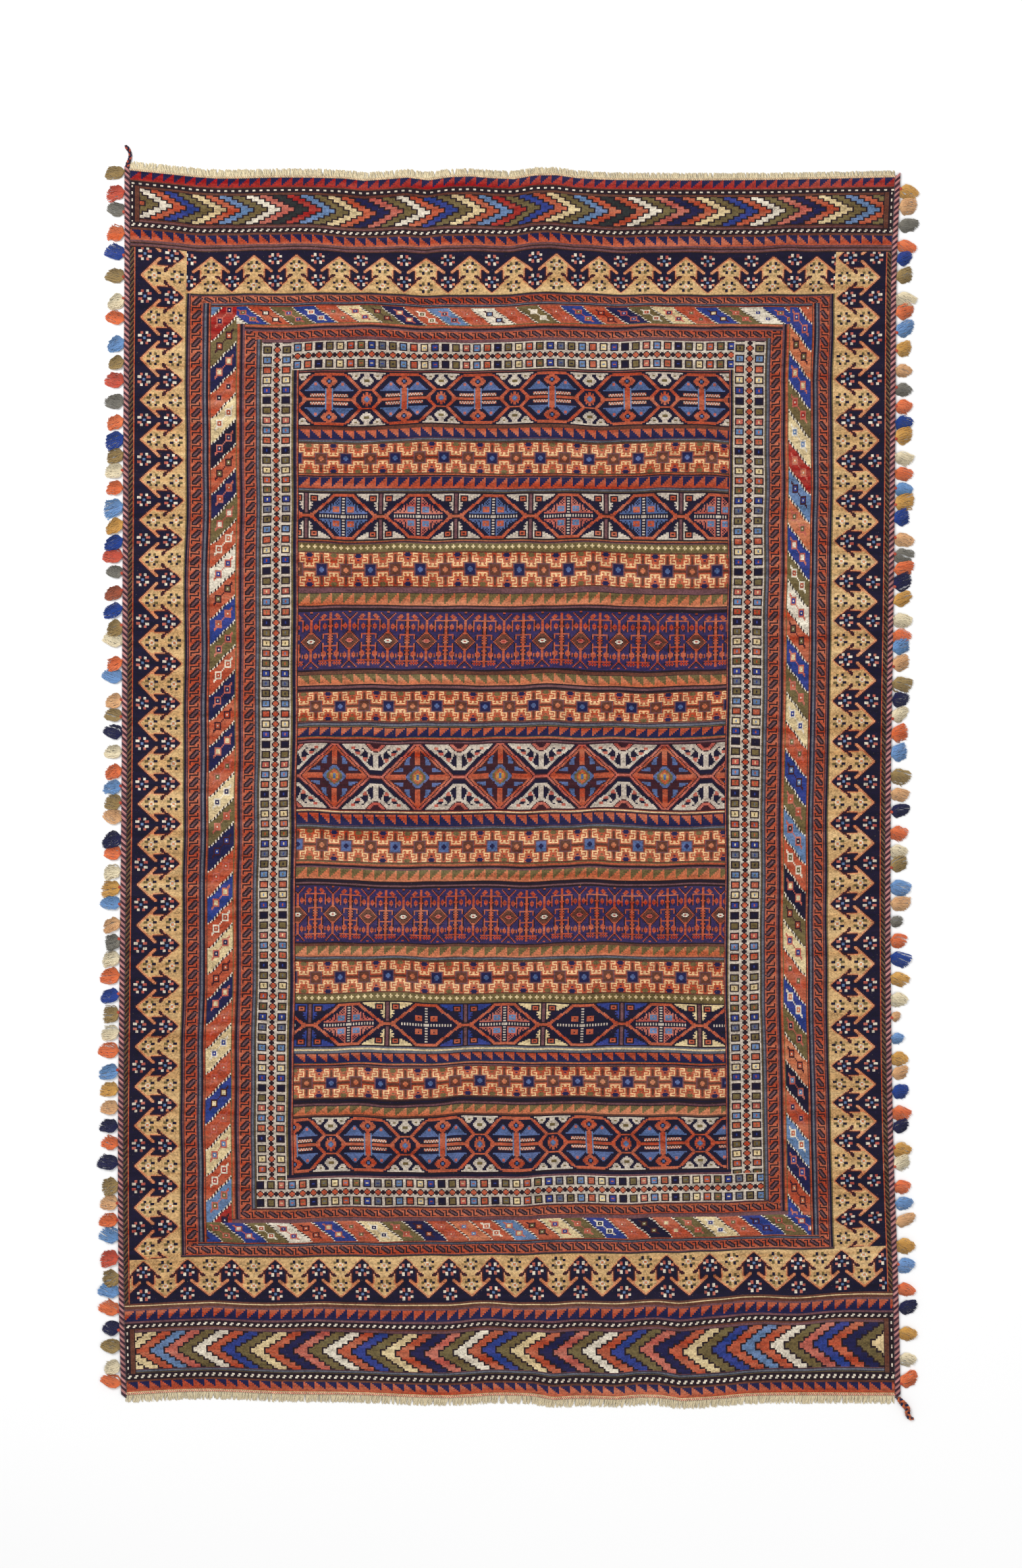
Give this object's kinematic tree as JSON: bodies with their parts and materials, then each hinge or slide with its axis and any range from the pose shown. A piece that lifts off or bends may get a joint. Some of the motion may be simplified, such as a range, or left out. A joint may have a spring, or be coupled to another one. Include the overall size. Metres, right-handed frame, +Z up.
{
  "type": "flat-woven soumak rug",
  "caption": "Rectangular flat-woven rug with banded geometric ornament, wrapped side cords, woollen side tassels, short cut warp ends and corner plaits.",
  "frame": {"origin": "on the floor, under the middle of the cloth", "axes": "+X across the rug, +Y along the rug towards the end that is at the top of the picture, +Z up from the floor"},
  "size_m": [1.6129, 2.5056, 0.011],
  "materials": {
    "cloth": "wrapped wool weft in navy, rust, olive, cream and camel, matt",
    "edge_cord": "slanted wraps of mauve and aubergine wool, matt",
    "tassels_left": "loose wool yarn, many colours, matt",
    "tassels_right": "loose wool yarn, many colours, matt",
    "warp_ends": "undyed cream wool warp, cut, matt",
    "plait_dark": "plaited navy and red wool, matt",
    "plait_rust": "plaited rust and navy wool, matt"
  },
  "bodies": {
    "root": {"woven_cloth": "cloth", "edge_cord_left": "edge_cord", "edge_cord_right": "edge_cord", "tassels_left": "tassels_left", "tassels_right": "tassels_right", "warp_ends_top": "warp_ends", "warp_ends_bottom": "warp_ends", "corner_plait_top_left": "plait_dark", "corner_plait_bottom_right": "plait_rust"}
  },
  "joints": []
}
